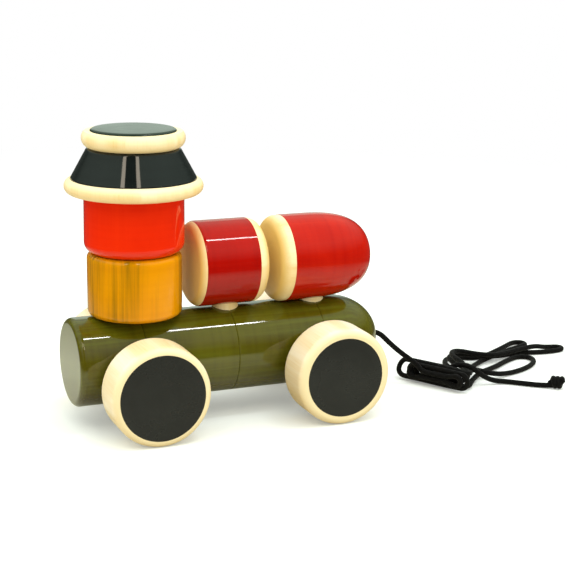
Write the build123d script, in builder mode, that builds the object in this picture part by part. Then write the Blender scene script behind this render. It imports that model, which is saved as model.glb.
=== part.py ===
"""Pull-along wooden engine: a turned log on two wheelsets, a cab stack and two boiler barrels on pegs.

Millimetres. +X points forward (to the cord), +Z up, origin on the floor under the middle of the toy.
"""
import os
from math import pi, radians, tan

from build123d import *

os.makedirs("parts", exist_ok=True)

# ---------------------------------------------------------------- driving dimensions
# wheels and axles
wheel_dia = 52.0
wheel_width = 23.5
wheel_round = 4.0          # rounding of both rims
axle_dia = 8.0
axle_seat = 14.0           # depth of the blind bore in a wheel
wheelbase = 100.0
side_gap = 3.5             # between the log and each wheel

# body log
stock_dia = 46.4           # the log and the bullet-nosed barrel are turned from one stock
axle_drop = 8.0            # log axis above the axles
log_back_round = 3.0
rear_overhang = 34.2       # back end behind the rear axle
nose_start = 12.0          # where the dome begins, ahead of the front axle
nose_length = 28.0
ring_width = 0.7           # scribed rings round the log
ring_depth = 0.35

# pegs
peg_dia = 14.0
peg_lead = 1.2             # pegs stand this far ahead of the axle spacing
peg_depth = 20.0           # blind hole in the log, below its crown
peg_chamfer = 1.0

# cab stack, from the crown of the log upwards
lower_block_dia = 49.2
lower_block_height = 33.0
lower_block_round = 3.0
upper_block_dia = 52.0
upper_block_top_dia = 51.6
upper_block_height = 30.6
upper_block_round = 4.5
brim_dia = 71.2
brim_thickness = 7.6
cone_foot_dia = 64.2
cone_top_dia = 47.6
cone_height = 15.7
cap_dia = 53.0
cap_thickness = 9.8
cap_face_dia = 44.4
cap_foot_dia = 46.0
cap_bore_depth = 5.6

# boiler: barrel on the middle peg, bullet-nosed barrel on the front peg
barrel_dia = 45.2
barrel_back = 20.6         # from its peg axis to each end
barrel_front = 18.4
barrel_back_round = 4.5
barrel_front_round = 6.4
barrel_lift = 1.5          # air between the log's crown and the barrel
nose_barrel_back = 25.2
nose_barrel_straight = -7.0  # where its nose curve begins, from the peg axis
nose_barrel_front = 32.2
nose_barrel_round = 5.2
nose_barrel_lift = 0.4
barrel_bore = 16.0         # height of each boiler peg above the log's crown

# pull cord
cord_dia = 3.0
cord_bore_depth = 10.0

# clearances, all radial or face to face
running_gap = 0.25         # axle in the log
glue_gap = 0.05            # dowels glued into blind holes
lift_gap = 0.3             # lift-off pieces on their pegs
seat_gap = 0.3             # lift-off piece above the round crown
stack_gap = 0.1            # between stacked flat faces
cord_gap = 0.25            # cord in its bore

# ---------------------------------------------------------------- worked out
wheel_r = wheel_dia / 2
log_r = stock_dia / 2
peg_r = peg_dia / 2
axle_z = wheel_r
log_z = axle_z + axle_drop
crown = log_z + log_r
track_half = log_r + side_gap + wheel_width

front_reach = nose_start + nose_length
rear_reach = max(rear_overhang, brim_dia / 2 - peg_lead)
half_length = (rear_reach + wheelbase + front_reach) / 2
rear_axle_x = rear_reach - half_length
front_axle_x = rear_axle_x + wheelbase
log_back = rear_axle_x - rear_overhang
nose_tip = front_axle_x + front_reach
peg_x = [rear_axle_x + peg_lead + wheelbase * step / 2 for step in range(3)]
peg_foot = crown - peg_depth

lower_z = crown + seat_gap
upper_z = lower_z + lower_block_height + stack_gap
hat_z = upper_z + upper_block_height + stack_gap
hat_height = brim_thickness + cone_height
cap_z = hat_z + hat_height + stack_gap
cab_peg_top = cap_z + cap_bore_depth - stack_gap
boiler_peg_top = crown + barrel_bore


def save(part, label):
    """Label one finished piece and write its STEP file."""
    part.label = label
    export_step(part, f"parts/{label}.step")


# ---------------------------------------------------------------- body log
with BuildPart() as body_log:
    with BuildSketch(Plane.XZ) as log_profile:
        with BuildLine():
            back = Line((log_back, log_z), (log_back, log_z + log_r - log_back_round))
            corner = JernArc(back @ 1, (0, 1), log_back_round, -90)
            top = Line(corner @ 1, (front_axle_x + nose_start, log_z + log_r))
            nose = EllipticalCenterArc((front_axle_x + nose_start, log_z), nose_length, log_r, 0, arc_size=90)
            Line((nose_tip, log_z), back @ 0)
        make_face()
    revolve(axis=Axis((0, 0, log_z), (1, 0, 0)))
    # a scribed ring marks the plane of each peg
    with BuildSketch(Plane.XZ) as rings:
        with Locations(*[(x, log_z + log_r) for x in peg_x]):
            Rectangle(ring_width, 2 * ring_depth)
    revolve(axis=Axis((0, 0, log_z), (1, 0, 0)), mode=Mode.SUBTRACT)
    # axle bores run straight through from side to side
    with BuildSketch(Plane.XZ):
        with Locations((rear_axle_x, axle_z), (front_axle_x, axle_z)):
            Circle(axle_dia / 2 + running_gap)
    extrude(amount=stock_dia, both=True, mode=Mode.SUBTRACT)
    # blind peg holes from the crown
    with BuildSketch(Plane.XY.offset(peg_foot)):
        with Locations(*[(x, 0) for x in peg_x]):
            Circle(peg_r + glue_gap)
    extrude(amount=peg_depth + log_r, mode=Mode.SUBTRACT)
    # blind cord bore in the tip of the nose
    with BuildSketch(Plane.YZ.offset(nose_tip - cord_bore_depth)):
        with Locations((0, log_z)):
            Circle(cord_dia / 2 + cord_gap)
    extrude(amount=2 * cord_bore_depth, mode=Mode.SUBTRACT)
save(body_log.part, "body_log")


# ---------------------------------------------------------------- wheelsets
def wheel(axle_x, side):
    """A turned wheel with a blind bore that faces the log; side is -1 (right) or +1 (left)."""
    with BuildPart() as turned:
        with BuildSketch(Plane.XZ.offset(-side * track_half)):
            with Locations((axle_x, axle_z)):
                Circle(wheel_r)
        extrude(amount=side * wheel_width)
        fillet(turned.edges().filter_by(GeomType.CIRCLE), wheel_round)
        with BuildSketch(Plane.XZ.offset(-side * (track_half - wheel_width))):
            with Locations((axle_x, axle_z)):
                Circle(axle_dia / 2 + glue_gap)
        extrude(amount=-side * axle_seat, mode=Mode.SUBTRACT)
    return turned.part


def axle(axle_x):
    """A dowel from the bottom of one wheel's bore to the bottom of the other's."""
    reach = track_half - wheel_width + axle_seat
    with BuildPart() as dowel:
        with BuildSketch(Plane.XZ):
            with Locations((axle_x, axle_z)):
                Circle(axle_dia / 2)
        extrude(amount=reach, both=True)
    return dowel.part


for place, x in (("rear", rear_axle_x), ("front", front_axle_x)):
    save(axle(x), f"{place}_axle")
    for hand, side in (("left", 1), ("right", -1)):
        save(wheel(x, side), f"{place}_{hand}_wheel")


# ---------------------------------------------------------------- pegs
def peg(x, top):
    """A dowel that stands in the log, with its upper rim broken."""
    with BuildPart() as dowel:
        with BuildSketch(Plane.XY.offset(peg_foot)):
            with Locations((x, 0)):
                Circle(peg_r)
        extrude(amount=top - peg_foot)
        chamfer(dowel.edges().group_by(Axis.Z)[-1], peg_chamfer)
    return dowel.part


save(peg(peg_x[0], cab_peg_top), "cab_peg")
save(peg(peg_x[1], boiler_peg_top), "barrel_peg")
save(peg(peg_x[2], boiler_peg_top), "nose_barrel_peg")


# ---------------------------------------------------------------- cab stack
# each piece has the peg's bore up its middle, and the cap's is blind
upwards = (Align.CENTER, Align.CENTER, Align.MIN)
cab_axis = Axis((peg_x[0], 0, 0), (0, 0, 1))

with BuildPart() as lower_block:
    with BuildSketch(Plane.XY.offset(lower_z)):
        with Locations((peg_x[0], 0)):
            Circle(lower_block_dia / 2)
    extrude(amount=lower_block_height)
    fillet(lower_block.edges().filter_by(GeomType.CIRCLE), lower_block_round)
    with Locations((peg_x[0], 0, lower_z)):
        Cylinder(peg_r + lift_gap, lower_block_height, align=upwards, mode=Mode.SUBTRACT)
save(lower_block.part, "cab_lower_block")

with BuildPart() as upper_block:
    with BuildSketch(Plane.XZ):
        with BuildLine():
            Polyline(
                (peg_x[0], upper_z),
                (peg_x[0] + upper_block_dia / 2, upper_z),
                (peg_x[0] + upper_block_top_dia / 2, upper_z + upper_block_height),
                (peg_x[0], upper_z + upper_block_height),
                close=True,
            )
        make_face()
    revolve(axis=cab_axis)
    fillet(upper_block.edges().filter_by(GeomType.CIRCLE).group_by(Axis.Z)[0], upper_block_round)
    fillet(upper_block.edges().filter_by(GeomType.CIRCLE).group_by(Axis.Z)[-1], upper_block_round / 3)
    with Locations((peg_x[0], 0, upper_z)):
        Cylinder(peg_r + lift_gap, upper_block_height, align=upwards, mode=Mode.SUBTRACT)
save(upper_block.part, "cab_upper_block")

with BuildPart() as hat:
    brim_edge = brim_thickness / 2
    with BuildSketch(Plane.XZ):
        with BuildLine():
            foot = Line((peg_x[0], hat_z), (peg_x[0] + brim_dia / 2 - brim_edge, hat_z))
            rim = JernArc(foot @ 1, (1, 0), brim_edge, 180)
            shelf = Line(rim @ 1, (peg_x[0] + cone_foot_dia / 2, hat_z + brim_thickness))
            slope = Line(shelf @ 1, (peg_x[0] + cone_top_dia / 2, hat_z + hat_height))
            Polyline(slope @ 1, (peg_x[0], hat_z + hat_height), foot @ 0)
        make_face()
    revolve(axis=cab_axis)
    with Locations((peg_x[0], 0, hat_z)):
        Cylinder(peg_r + lift_gap, hat_height, align=upwards, mode=Mode.SUBTRACT)
save(hat.part, "cab_hat")

with BuildPart() as cap:
    cap_edge = cap_thickness / 2
    with BuildSketch(Plane.XZ):
        with BuildLine():
            foot = Line((peg_x[0], cap_z), (peg_x[0] + cap_foot_dia / 2, cap_z))
            side = ThreePointArc(
                foot @ 1,
                (peg_x[0] + cap_dia / 2, cap_z + cap_edge),
                (peg_x[0] + cap_face_dia / 2, cap_z + cap_thickness),
            )
            Polyline(side @ 1, (peg_x[0], cap_z + cap_thickness), foot @ 0)
        make_face()
    revolve(axis=cab_axis)
    with Locations((peg_x[0], 0, cap_z)):
        Cylinder(peg_r + lift_gap, cap_bore_depth, align=upwards, mode=Mode.SUBTRACT)
save(cap.part, "cab_cap")


# ---------------------------------------------------------------- boiler barrels
# each has a blind socket that drops over its peg
with BuildPart() as barrel:
    barrel_z = crown + barrel_lift + barrel_dia / 2
    with BuildSketch(Plane.YZ.offset(peg_x[1] - barrel_back)):
        with Locations((0, barrel_z)):
            Circle(barrel_dia / 2)
    extrude(amount=barrel_back + barrel_front)
    fillet(barrel.edges().filter_by(GeomType.CIRCLE).sort_by(Axis.X)[0], barrel_back_round)
    fillet(barrel.edges().filter_by(GeomType.CIRCLE).sort_by(Axis.X)[-1], barrel_front_round)
    with Locations((peg_x[1], 0, crown)):
        Cylinder(peg_r + lift_gap, barrel_bore + stack_gap, align=upwards, mode=Mode.SUBTRACT)
save(barrel.part, "boiler_barrel")

with BuildPart() as nose_barrel:
    nose_r = stock_dia / 2
    nose_z = crown + nose_barrel_lift + nose_r
    curve = nose_barrel_front - nose_barrel_straight
    with BuildSketch(Plane.XZ):
        with BuildLine():
            end = Line(
                (peg_x[2] - nose_barrel_back, nose_z),
                (peg_x[2] - nose_barrel_back, nose_z + nose_r - nose_barrel_round),
            )
            corner = JernArc(end @ 1, (0, 1), nose_barrel_round, -90)
            top = Line(corner @ 1, (peg_x[2] + nose_barrel_straight, nose_z + nose_r))
            bullet = Spline(
                top @ 1,
                (peg_x[2] + nose_barrel_straight + 0.56 * curve, nose_z + 0.925 * nose_r),
                (peg_x[2] + nose_barrel_straight + 0.84 * curve, nose_z + 0.70 * nose_r),
                (peg_x[2] + nose_barrel_front, nose_z),
                tangents=[(1, 0), (0, -1)],
            )
            Line(bullet @ 1, end @ 0)
        make_face()
    revolve(axis=Axis((0, 0, nose_z), (1, 0, 0)))
    with Locations((peg_x[2], 0, crown)):
        Cylinder(peg_r + lift_gap, barrel_bore + stack_gap, align=upwards, mode=Mode.SUBTRACT)
save(nose_barrel.part, "boiler_nose_barrel")


# ---------------------------------------------------------------- pull cord
# A limp braided cord. It is glued in the nose, drops to a folded hank on the floor, and
# four stretches of it lie loose ahead of the hank: a loop, a long bight, an arch with a
# narrow bight, and the tail with its end knot.
lead_route = [
    (nose_tip - cord_bore_depth, 0, log_z),
    (nose_tip + 3.2, 0, log_z),
    (nose_tip + 11.4, 0.3, log_z - 8.2),
    (nose_tip + 19.2, 0.1, log_z - 15.0),
    (nose_tip + 25.4, -1.6, log_z - 19.6),
    (nose_tip + 30.6, -5.6, log_z - 23.0),
    (nose_tip + 35.0, -11.0, log_z - 25.4),
]
loop_route = [
    (152.2, -4.5, 4.8),
    (163.2, -8.0, 2.4),
    (175.2, -4.5, 1.6),
    (187.2, 0.5, 1.6),
    (197.2, 8.0, 1.6),
    (203.2, 16.0, 1.6),
    (201.4, 22.4, 1.6),
    (194.7, 23.8, 1.6),
    (184.8, 17.4, 1.6),
    (172.4, 7.6, 2.2),
    (158.6, -0.8, 4.8),
]
long_bight_route = [
    (154.2, 0.4, 7.4),
    (166.0, 7.6, 6.8),
    (178.0, 14.6, 5.3),
    (190.2, 21.0, 4.9),
    (202.0, 26.4, 5.0),
    (213.2, 32.0, 5.0),
    (221.0, 36.4, 2.6),
    (227.2, 38.6, 1.6),
    (232.2, 37.0, 1.6),
    (233.2, 32.0, 1.6),
    (228.4, 29.0, 1.6),
    (215.6, 28.6, 1.6),
    (203.0, 30.0, 1.6),
    (190.6, 26.6, 1.6),
    (178.2, 20.0, 1.6),
    (166.4, 10.6, 3.0),
    (157.4, 3.6, 4.6),
]
arch_route = [
    (149.4, 2.0, 6.6),
    (148.0, 12.0, 6.9),
    (149.6, 22.6, 5.8),
    (153.0, 31.2, 4.2),
    (159.2, 33.8, 2.6),
    (164.6, 29.2, 1.7),
    (170.8, 26.2, 1.6),
    (181.2, 30.0, 1.6),
    (191.6, 36.4, 1.6),
    (201.0, 42.8, 1.6),
    (206.6, 46.8, 1.6),
    (211.6, 49.2, 1.6),
    (216.0, 47.6, 1.6),
    (216.4, 42.8, 1.6),
    (212.0, 40.0, 1.6),
    (203.2, 36.6, 1.6),
    (192.0, 31.4, 1.6),
    (179.4, 25.0, 1.6),
    (167.2, 17.6, 2.8),
    (157.2, 7.9, 5.6),
]
tail_route = [
    (149.8, -9.4, 5.4),
    (157.4, -13.8, 2.8),
    (165.2, -19.0, 1.6),
    (172.8, -26.4, 1.6),
    (180.6, -33.0, 1.6),
    (187.6, -36.8, 2.2),
]
# two round bundles, each from one end of its axis to the other: the folded hank, and the
# place beside it where the loose stretches cross
hank_ends = ((116.0, 9.5), (133.0, -19.5))
hank_radius = 6.5
crossing_ends = ((141.5, -13.5), (157.2, 3.0))
crossing_radius = 5.2
floor_gap = 0.1
knot_dia = 7.6
knot_length = 9.0


def corner_radii(route):
    """The largest arc that each corner's two runs allow."""
    radii = []
    for before, here, after in zip(route, route[1:], route[2:]):
        run_in = Vector(*here) - Vector(*before)
        run_out = Vector(*after) - Vector(*here)
        half_turn = radians(run_in.get_angle(run_out)) / 2
        radii.append(0.45 * min(run_in.length, run_out.length) / tan(half_turn))
    return radii


def cord_tube(route, label):
    """A round cord along a route, with its volume held against its section times its length."""
    radii = corner_radii(route)
    with BuildPart() as tube:
        with BuildLine() as line:
            FilletPolyline(*route, radius=radii)
        with BuildSketch(Plane(origin=line.line @ 0, z_dir=line.line % 0)):
            Circle(cord_dia / 2)
        sweep()
    length = line.wires()[0].length
    share = tube.part.volume / (pi * cord_dia**2 / 4 * length)
    print(f"{label}: {length:.1f} long, radii", *[f"{radius:.1f}" for radius in radii], f"volume {share:.4f}")
    save(tube.part, label)


cord_tube(lead_route, "cord_lead")
cord_tube(loop_route, "cord_loop")
cord_tube(long_bight_route, "cord_long_bight")
cord_tube(arch_route, "cord_arch")
cord_tube(tail_route, "cord_tail")


def cord_bundle(ends, radius, label):
    """A bundle of cord that lies on the floor: a round bar with round ends."""
    start, end = [Vector(*place, radius + floor_gap) for place in ends]
    with BuildPart() as bundle:
        with Locations(Plane(origin=start, z_dir=end - start)):
            Cylinder(radius, (end - start).length, align=upwards)
        with Locations(start, end):
            Sphere(radius)
    save(bundle.part, label)


cord_bundle(hank_ends, hank_radius, "cord_hank")
cord_bundle(crossing_ends, crossing_radius, "cord_crossing")

last_run = Vector(*tail_route[-1]) - Vector(*tail_route[-2])
knot_centre = Vector(tail_route[-1][0], tail_route[-1][1])
knot_reach = Vector(last_run.X, last_run.Y).normalized() * (knot_length - knot_dia) / 2
knot_ends = [(place.X, place.Y) for place in (knot_centre - knot_reach, knot_centre + knot_reach)]
cord_bundle(knot_ends, knot_dia / 2, "cord_end_knot")
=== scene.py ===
# %% [markdown]
# # A wooden pull-along engine
# The toy is turned on a lathe, piece by piece, and lacquered while it spins. A round log carries two
# wheelsets, a cab of four stacked pieces on one tall peg, and two boiler barrels on short pegs. A limp
# braided cord is glued into its nose. The solid frame is loaded first, because it holds every size and
# place: each piece below is fitted to it and never the other way round.

# %% Load the frame
from math import asin, atan2, cos, pi, radians, sin, sqrt, tau

import bmesh
import bpy
from mathutils import Matrix, Vector


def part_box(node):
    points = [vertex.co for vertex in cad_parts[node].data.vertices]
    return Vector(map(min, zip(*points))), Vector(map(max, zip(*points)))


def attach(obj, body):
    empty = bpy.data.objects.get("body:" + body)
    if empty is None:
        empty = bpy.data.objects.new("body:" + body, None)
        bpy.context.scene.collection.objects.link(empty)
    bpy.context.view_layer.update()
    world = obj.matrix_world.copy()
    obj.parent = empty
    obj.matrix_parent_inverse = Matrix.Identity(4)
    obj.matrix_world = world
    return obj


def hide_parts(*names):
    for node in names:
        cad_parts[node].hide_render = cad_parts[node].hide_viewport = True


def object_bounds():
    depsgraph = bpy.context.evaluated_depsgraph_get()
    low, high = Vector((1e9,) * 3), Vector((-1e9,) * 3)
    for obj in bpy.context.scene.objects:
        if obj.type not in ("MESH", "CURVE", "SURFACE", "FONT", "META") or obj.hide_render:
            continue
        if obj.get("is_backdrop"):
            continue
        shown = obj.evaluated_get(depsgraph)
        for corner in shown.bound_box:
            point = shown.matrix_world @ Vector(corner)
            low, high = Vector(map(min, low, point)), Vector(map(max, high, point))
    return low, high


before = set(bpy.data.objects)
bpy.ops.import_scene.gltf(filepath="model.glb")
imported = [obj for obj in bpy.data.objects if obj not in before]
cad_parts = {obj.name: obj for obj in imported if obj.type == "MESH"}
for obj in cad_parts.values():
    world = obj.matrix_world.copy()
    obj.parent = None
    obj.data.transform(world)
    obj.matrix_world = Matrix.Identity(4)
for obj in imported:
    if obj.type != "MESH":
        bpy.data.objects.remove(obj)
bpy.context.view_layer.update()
mm = 0.001

# %% [markdown]
# ## Camera
# The toy is seen from its right side, from a little above and slightly from behind, so that its back ends
# show. A long lens from about 80 cm away keeps the circles of the wheels nearly round. The camera's axes
# are built from three turns: how far it looks to the right, how far down, and a slight tilt.

# %% Camera
camera_place = Vector((-273.7, -714.9, 260.8)) * mm
look_right = radians(23.18)
look_down = radians(14.05)
tilt = radians(0.92)
forward = Vector((sin(look_right) * cos(look_down), cos(look_right) * cos(look_down), -sin(look_down)))
level = Vector((cos(look_right), -sin(look_right), 0))
upward = level.cross(forward)
side = level * cos(tilt) + upward * sin(tilt)
top = upward * cos(tilt) - level * sin(tilt)
camera_data = bpy.data.cameras.new("catalogue_camera")
camera_data.sensor_width = 36
camera_data.lens = 93.87
camera_data.clip_start = 0.02
camera = bpy.data.objects.new("catalogue_camera", camera_data)
camera.matrix_world = Matrix.Translation(camera_place) @ Matrix((side, top, -forward)).transposed().to_4x4()
bpy.context.scene.collection.objects.link(camera)
bpy.context.scene.camera = camera
print("camera:", [round(c, 3) for c in camera.location], "lens", camera_data.lens)

# %% [markdown]
# ## The pull cord's route
# A real pull cord is one limp braid. It leaves the nose, drops to the floor and is folded there into a
# hank, and stretches of it fan out ahead of the hank. One smooth curve follows it from end to end. Its
# free stretches are listed points. Inside the hank it runs up and down as a folded cord does:
# each turn has an upper and a lower strand and a fold at the far end, so those come from a short table.

# %% The cord's free stretches
log_low, log_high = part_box("body_log")
nose_tip = log_high.x / mm
nose_height = (log_low.z + log_high.z) / 2 / mm
cord_radius = 1.5 * mm

lead = [
    (nose_tip - 3.0, 0, nose_height), (nose_tip + 3.2, 0, nose_height),
    (nose_tip + 11.4, 0.3, nose_height - 8.2), (nose_tip + 19.2, 0.1, nose_height - 15.0),
    (nose_tip + 25.4, -1.6, nose_height - 19.6), (nose_tip + 28.6, -2.4, nose_height - 22.6),
]
loop = [
    (152.2, -4.9, 6.0), (163.2, -8.6, 2.9), (175.2, -6.0, 1.6), (186.8, -2.0, 1.6), (195.6, 3.4, 1.6),
    (202.2, 10.2, 1.6), (203.6, 17.6, 1.6), (197.4, 21.8, 1.6), (186.2, 16.4, 1.6), (172.4, 6.4, 2.0),
    (158.6, -0.8, 2.6),
]
long_bight = [
    (146.6, -1.5, 9.2), (145.4, 9.0, 10.2), (149.0, 19.0, 10.2), (156.8, 22.6, 9.2), (166.0, 18.0, 7.4),
    (178.0, 17.0, 5.6), (190.2, 21.6, 4.9), (202.0, 25.2, 5.0), (213.2, 27.6, 5.0), (221.0, 30.4, 2.8),
    (227.6, 32.4, 1.6), (232.4, 31.4, 1.6), (233.2, 27.0, 1.6), (228.4, 24.2, 1.6), (216.0, 24.4, 1.6),
    (203.0, 28.4, 1.6), (190.6, 26.8, 1.6), (179.6, 21.6, 3.4), (168.4, 22.2, 5.6), (157.8, 26.8, 5.8),
    (149.8, 23.6, 5.9), (146.6, 12.0, 5.9), (149.0, 1.4, 5.4),
]
arch = [
    (146.6, 2.0, 3.2), (145.6, 12.0, 2.4), (147.6, 23.0, 1.8), (152.4, 31.2, 1.6), (159.2, 33.8, 1.6),
    (165.4, 30.4, 1.6), (171.8, 27.6, 1.6), (181.2, 30.6, 1.6), (191.6, 36.8, 1.6), (201.0, 42.8, 1.6),
    (206.6, 46.8, 1.6), (211.6, 49.0, 1.6), (216.0, 47.4, 1.6), (216.4, 42.8, 1.6), (212.0, 40.0, 1.6),
    (203.2, 37.0, 1.6), (192.0, 31.8, 1.6), (179.4, 25.8, 1.6), (167.2, 17.0, 2.2), (156.4, 7.4, 3.0),
]
tail = [
    (149.2, -17.2, 6.4), (157.0, -16.8, 2.2), (165.2, -19.6, 1.6), (172.8, -26.4, 1.6),
    (180.6, -33.0, 1.6), (187.6, -36.8, 2.2),
]
print("free stretches:", [len(part) for part in (lead, loop, long_bight, arch, tail)], "points")

# %% The hank's measures
hank_middle = Vector((126.5, -8.4, 6.6))
hank_along = Vector((17.0, -29.0, 0)).normalized()
hank_across = Vector((-hank_along.y, hank_along.x, 0))
crossing_start = Vector((141.5, -13.5, 5.3))
crossing_along = Vector((15.7, 16.5, 0)).normalized()
crossing_across = Vector((crossing_along.y, -crossing_along.x, 0))

# each turn of the hank: how far across it lies, half its height, and where its ends fold
turns = [
    (-5.2, 1.6, -14.0, 14.0),
    (-2.9, 4.1, -21.5, 16.0),
    (0.0, 5.0, -16.0, 12.0),
    (0.0, 1.6, -12.5, 10.0),
    (2.9, 4.1, -17.0, 8.0),
    (5.2, 1.6, -14.5, 6.0),
]


def in_hank(along, across, up):
    """A point of the hank from its own three directions."""
    return tuple(hank_middle + hank_along * along + hank_across * across + Vector((0, 0, up)))


def in_crossing(along, across, up):
    """A point where the strands cross beside the hank."""
    return tuple(crossing_start + crossing_along * along + crossing_across * across + Vector((0, 0, up)))


print("hank:", len(turns), "turns")

# %% Strands and folds
fold_half = 2.95  # half the height of the lowest folds, about one diameter of the cord
fold_corner = 0.41  # the share of that half at which a fold's corners are cut
strand_sway = 0.35  # strands lie a little askew, as laid by hand


def strand(turn, upper):
    """One straight strand of a turn: the upper ones run to the right end, the lower ones to the left."""
    across, half, left, right = turns[turn]
    sway = strand_sway * sin(2.1 * turn + (0.7 if upper else 2.4))
    up = half if upper else -half
    points = [in_hank(left + (right - left) * share, across + sway * askew, up)
              for share, askew in ((0.2, -1), (0.5, 0), (0.8, 1))]
    return points if upper else points[::-1]


def fold(first, second, end):
    """The fold from one turn's strand to the next one's, at the left or the right end of the hank."""
    outward, rise = (-1, 1) if end == "left" else (1, -1)
    reach = turns[first][2 if end == "left" else 3]
    halves = [max(turns[turn][1], fold_half) for turn in (first, second)]
    bulge = outward * sum(halves) / 2
    middle = (turns[first][0] + turns[second][0]) / 2
    sides = []
    for turn, up in ((first, -rise * halves[0]), (second, rise * halves[1])):
        across = turns[turn][0]
        sides.append([in_hank(reach - fold_corner * bulge, across, up),
                      in_hank(reach + fold_corner * bulge, across, up),
                      in_hank(reach + bulge, across * 0.7 + middle * 0.3, up * fold_corner)])
    return sides[0] + sides[1][::-1]


print("a strand has", len(strand(0, True)), "points, a fold", len(fold(0, 0, "right")))

# %% The whole route
first_turns = strand(0, True) + fold(0, 0, "right") + strand(0, False) + fold(0, 1, "left")
first_turns += strand(1, True)[1:] + fold(1, 1, "right") + strand(1, False) + fold(1, 2, "left")
first_turns += strand(2, True)
to_loop = [(138.2, -22.6, 9.6), in_crossing(2.0, 1.5, 3.2)]
from_loop = [in_crossing(3.0, 2.2, -2.9), (137.8, -23.2, 2.4)]
middle_turn = strand(2, False) + fold(2, 3, "left") + strand(3, True)
to_bight = [(136.2, -18.6, 8.4), in_crossing(2.0, -1.6, 2.8)]
from_bight = [in_crossing(6.0, 0.0, -0.2), (136.8, -19.6, 4.9)]
fourth_turn = strand(3, False) + fold(3, 4, "left") + strand(4, True)[1:]
to_arch = [(135.2, -14.6, 10.0), in_crossing(3.0, -4.4, 1.4)]
from_arch = [in_crossing(8.0, -1.8, -2.8), (135.4, -15.4, 2.2)]
last_turn = strand(4, False) + fold(4, 5, "left") + strand(5, True)
to_tail = [(135.3, -10.9, 12.8), (142.4, -15.6, 12.4)]
cord_route = lead + first_turns + to_loop + loop + from_loop + middle_turn + to_bight + long_bight
cord_route += from_bight + fourth_turn + to_arch + arch + from_arch + last_turn + to_tail + tail
print("cord route:", len(cord_route), "points")

# %% [markdown]
# ## Colour and paint helpers
# Toy lacquer is a shellac stick pressed on the spinning wood: the heat of rubbing melts it on. Its
# colours are written here as a painter would mix them. Small helpers put shader nodes together, such as
# a sum, a ramp, noise and a blend of two colours. So each finish below reads as a short recipe.

# %% Colours
def tint(code):
    """A written colour such as 535109 as the linear colour that shaders use."""
    shares = [int(code[i:i + 2], 16) / 255 for i in (0, 2, 4)]
    return tuple(s / 12.92 if s <= 0.04045 else ((s + 0.055) / 1.055) ** 2.4 for s in shares) + (1.0,)


print("olive, written 535109, is", [round(c, 3) for c in tint("535109")])

# %% Node helpers
def fill(tree, node, sockets):
    """Fill a node's sockets, each with a value or with a link."""
    for key, value in sockets.items():
        if isinstance(value, bpy.types.NodeSocket):
            tree.links.new(value, node.inputs[key])
        else:
            node.inputs[key].default_value = value


def add(tree, kind, sockets=None, **settings):
    """Add a shader node, set its options and fill its sockets."""
    made = tree.nodes.new("ShaderNode" + kind)
    for option, value in settings.items():
        setattr(made, option, value)
    fill(tree, made, sockets or {})
    return made


def calc(tree, operation, *values, clamp=False):
    """The result of a sum on single numbers."""
    return add(tree, "Math", dict(enumerate(values)), operation=operation, use_clamp=clamp).outputs[0]


def ramp(tree, value, start, end, low=0.0, high=1.0):
    """A straight ramp between two levels as a value goes from the start to the end."""
    return add(tree, "MapRange", {"Value": value, "From Min": start, "From Max": end, "To Min": low,
                                  "To Max": high}).outputs[0]


def blend(tree, share, first, second):
    """Two colours mixed by a share from 0 to 1."""
    return add(tree, "Mix", {"Factor": share, 6: first, 7: second}, data_type="RGBA").outputs[2]


def noise(tree, place, scale, detail, roughness=0.5, distortion=0.0):
    """Solid noise; three scales draw it out along the directions with the smaller ones."""
    if not isinstance(scale, (int, float)):
        place = add(tree, "Mapping", {"Vector": place, "Scale": scale}).outputs[0]
        scale = 1.0
    return add(tree, "TexNoise", {"Vector": place, "Scale": scale, "Detail": detail, "Roughness": roughness,
                                  "Distortion": distortion}).outputs["Fac"]


print("node helpers: sums, ramps, blends and noise")

# %% Groups and materials
def new_group(name, inputs, outputs):
    """A new shader node group, and the sockets that it is given and that it has to fill."""
    group = bpy.data.node_groups.new(name, "ShaderNodeTree")
    for label, kind, default in inputs:
        socket = group.interface.new_socket(label, in_out="INPUT", socket_type=kind)
        if default is not None:
            socket.default_value = default
    for label, kind in outputs:
        group.interface.new_socket(label, in_out="OUTPUT", socket_type=kind)
    inside = group.nodes.new("NodeGroupInput")
    outside = group.nodes.new("NodeGroupOutput")
    return group, inside.outputs, outside.inputs


def give_out(group, outside, results):
    """Join a group's results to its output sockets and return the finished group."""
    for label, result in results.items():
        group.links.new(result, outside[label])
    print(f"{group.name}:", len(group.nodes), "nodes")
    return group


def use_group(tree, group, sockets):
    """Place a node group in a material with its own values."""
    made = tree.nodes.new("ShaderNodeGroup")
    made.node_tree = group
    fill(tree, made, sockets)
    return made.outputs


def new_material(name):
    """An empty node material and its tree."""
    material = bpy.data.materials.new(name)
    material.use_nodes = True
    material.node_tree.nodes.clear()
    return material, material.node_tree


number, colour, direction = "NodeSocketFloat", "NodeSocketColor", "NodeSocketVector"
print("kinds of sockets:", number, colour, direction)

# %% [markdown]
# ## Wood grain
# The blanks are a pale, close-grained hardwood. Its grain runs along each blank, so the pattern is a
# solid one in object coordinates, drawn out along one direction: broad streaks for the growth rings,
# narrow veins inside them, and fine lines for the fibres. Where a face cuts across the grain, the open
# pores take in more wax, so the end grain has its own tone. The streaks show on the bare rims and
# faintly through the lacquer.

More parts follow.
